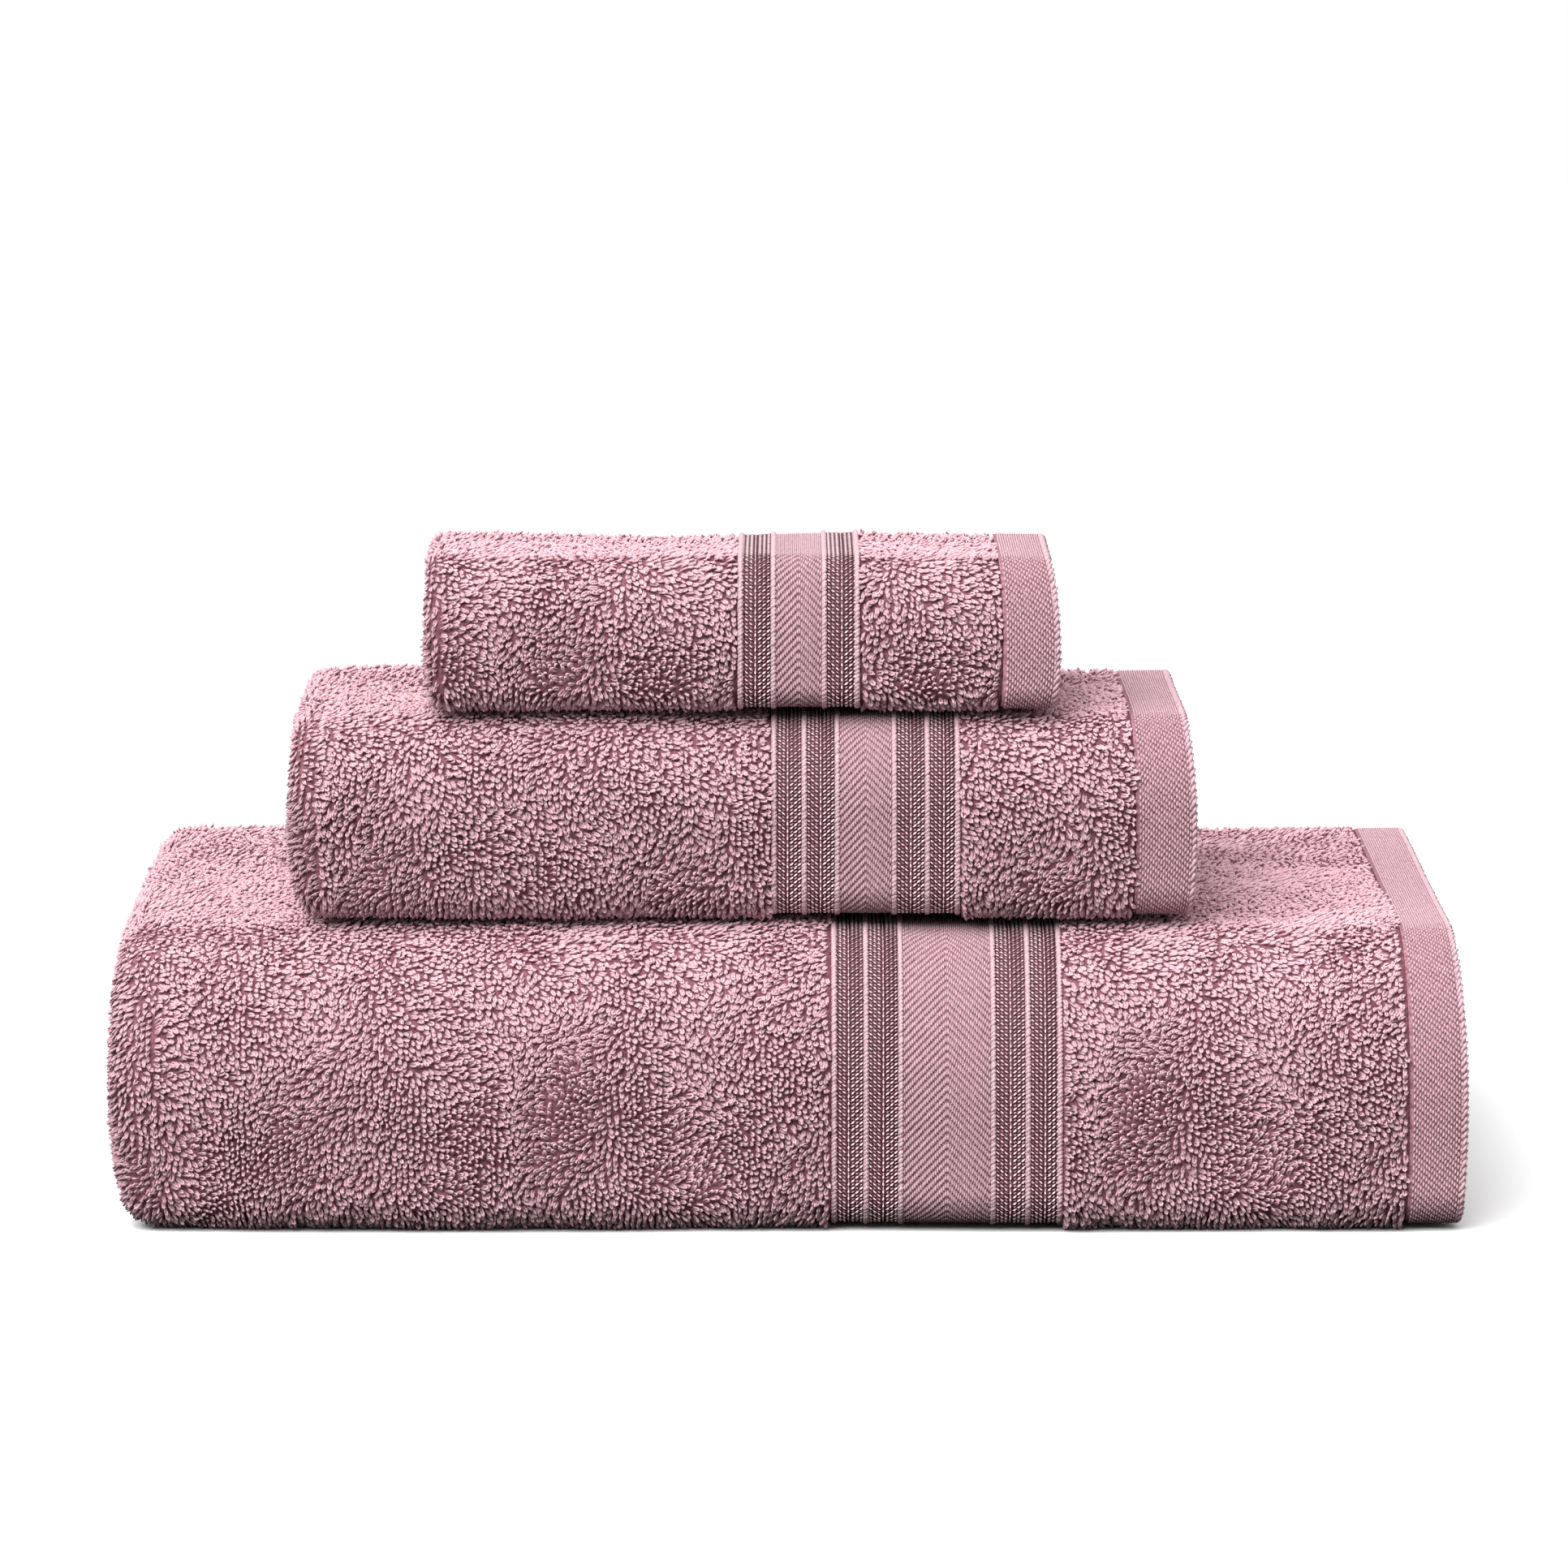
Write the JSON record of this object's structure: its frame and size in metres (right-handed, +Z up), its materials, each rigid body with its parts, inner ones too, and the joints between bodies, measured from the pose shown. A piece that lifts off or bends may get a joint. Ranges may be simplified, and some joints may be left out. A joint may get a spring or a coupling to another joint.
{
  "type": "bath towel set",
  "caption": "Folded terry towels in a neat stack, bath towel below, hand towel between and washcloth on top, with dobby borders and flat hems at one end.",
  "frame": {"origin": "middle of the bath towel's underside, on the surface that the stack stands on", "axes": "+X along the folded towels towards their hemmed ends, -Y towards the front folds, +Z up"},
  "size_m": [0.35, 0.2334, 0.1718],
  "materials": {
    "terry": "matte",
    "flat_weave": "matte",
    "shiny_weave": "satin"
  },
  "bodies": {
    "bath_towel": {"bath_band_far_inner": "shiny_weave", "bath_band_far_outer": "shiny_weave", "bath_band_near_inner": "shiny_weave", "bath_band_near_outer": "shiny_weave", "bath_end_pile_inner": "terry", "bath_end_pile_outer": "terry", "bath_field": "terry", "bath_hem_inner": "flat_weave", "bath_hem_outer": "flat_weave", "bath_herringbone_inner": "flat_weave", "bath_herringbone_outer": "flat_weave", "bath_side_hem_tucked": "flat_weave", "bath_side_hem_under": "flat_weave"},
    "hand_towel": {"hand_band_far_inner": "shiny_weave", "hand_band_far_outer": "shiny_weave", "hand_band_near_inner": "shiny_weave", "hand_band_near_outer": "shiny_weave", "hand_end_pile_inner": "terry", "hand_end_pile_outer": "terry", "hand_field": "terry", "hand_hem_inner": "flat_weave", "hand_hem_outer": "flat_weave", "hand_herringbone_inner": "flat_weave", "hand_herringbone_outer": "flat_weave", "hand_side_hem_tucked": "flat_weave", "hand_side_hem_under": "flat_weave"},
    "washcloth": {"wash_band_far_inner": "shiny_weave", "wash_band_far_outer": "shiny_weave", "wash_band_near_inner": "shiny_weave", "wash_band_near_outer": "shiny_weave", "wash_end_pile_inner": "terry", "wash_end_pile_outer": "terry", "wash_field": "terry", "wash_hem_inner": "flat_weave", "wash_hem_outer": "flat_weave", "wash_herringbone_inner": "flat_weave", "wash_herringbone_outer": "flat_weave", "wash_side_hem_tucked": "flat_weave", "wash_side_hem_under": "flat_weave"}
  },
  "joints": [
    {"name": "hand_towel_lift", "type": "slide", "parent": "bath_towel", "child": "hand_towel", "axis": [0, 0, 1], "range_m": [0, 0.15]},
    {"name": "washcloth_lift", "type": "slide", "parent": "hand_towel", "child": "washcloth", "axis": [0, 0, 1], "range_m": [0, 0.12]}
  ]
}
